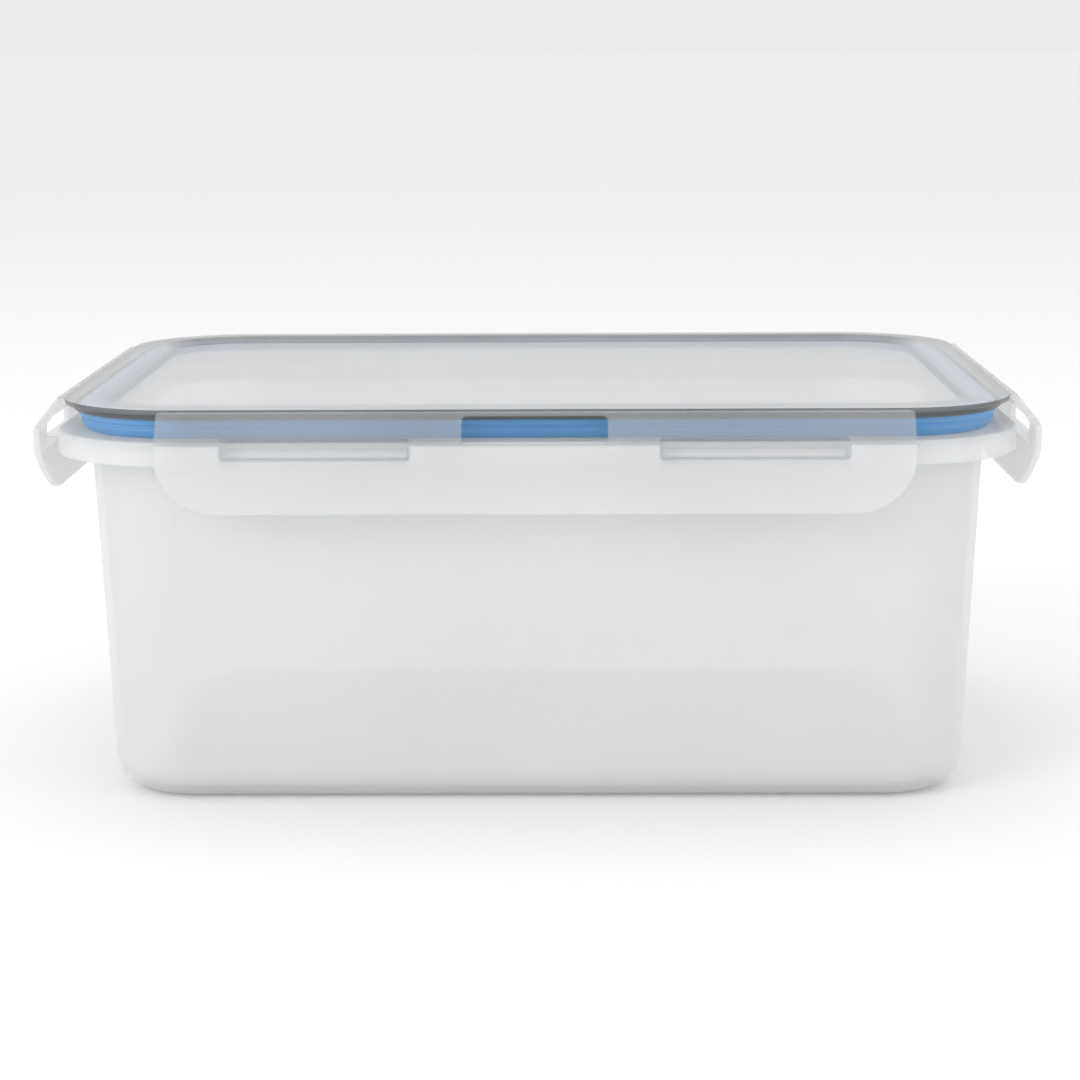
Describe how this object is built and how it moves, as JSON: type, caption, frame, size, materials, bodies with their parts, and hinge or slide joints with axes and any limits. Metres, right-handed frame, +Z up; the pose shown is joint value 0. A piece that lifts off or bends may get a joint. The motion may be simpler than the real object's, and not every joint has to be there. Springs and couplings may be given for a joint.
{
  "type": "snap lid food container",
  "caption": "Rectangular frosted plastic food box with a sunk lid, a blue seal ring and a hinged latch flap on each side.",
  "frame": {"origin": "on the base plane, under the middle of the box", "axes": "+X along the long side to the right, -Y to the front, +Z up"},
  "size_m": [0.2456, 0.1836, 0.098],
  "materials": {
    "frosted_body": "translucent frosted polypropylene, satin",
    "frosted_lid": "translucent frosted polypropylene, satin",
    "blue_silicone": "soft matte silicone"
  },
  "bodies": {
    "container": {"container_body": "frosted_body"},
    "lid": {"lid_panel": "frosted_lid", "gasket_seal": "blue_silicone", "front_hinge_film": "frosted_lid", "rear_hinge_film": "frosted_lid", "left_hinge_film": "frosted_lid", "right_hinge_film": "frosted_lid"},
    "front_latch": {"front_flap": "frosted_lid"},
    "rear_latch": {"rear_flap": "frosted_lid"},
    "left_latch": {"left_flap": "frosted_lid"},
    "right_latch": {"right_flap": "frosted_lid"}
  },
  "joints": [
    {"name": "lid_lift", "type": "slide", "parent": "container", "child": "lid", "axis": [0, 0, 1], "range_m": [0, 0.12]},
    {"name": "front_flap_hinge", "type": "hinge", "parent": "lid", "child": "front_latch", "pos_m": [0, -0.085, 0.0972], "axis": [-1, 0, 0], "range_deg": [-7, 140], "deforming": ["front_hinge_film"]},
    {"name": "rear_flap_hinge", "type": "hinge", "parent": "lid", "child": "rear_latch", "pos_m": [0, 0.085, 0.0972], "axis": [1, 0, 0], "range_deg": [-7, 140], "deforming": ["rear_hinge_film"]},
    {"name": "left_flap_hinge", "type": "hinge", "parent": "lid", "child": "left_latch", "pos_m": [-0.116, 0, 0.0972], "axis": [0, 1, 0], "range_deg": [-7, 140], "deforming": ["left_hinge_film"]},
    {"name": "right_flap_hinge", "type": "hinge", "parent": "lid", "child": "right_latch", "pos_m": [0.116, 0, 0.0972], "axis": [0, -1, 0], "range_deg": [-7, 140], "deforming": ["right_hinge_film"]}
  ]
}
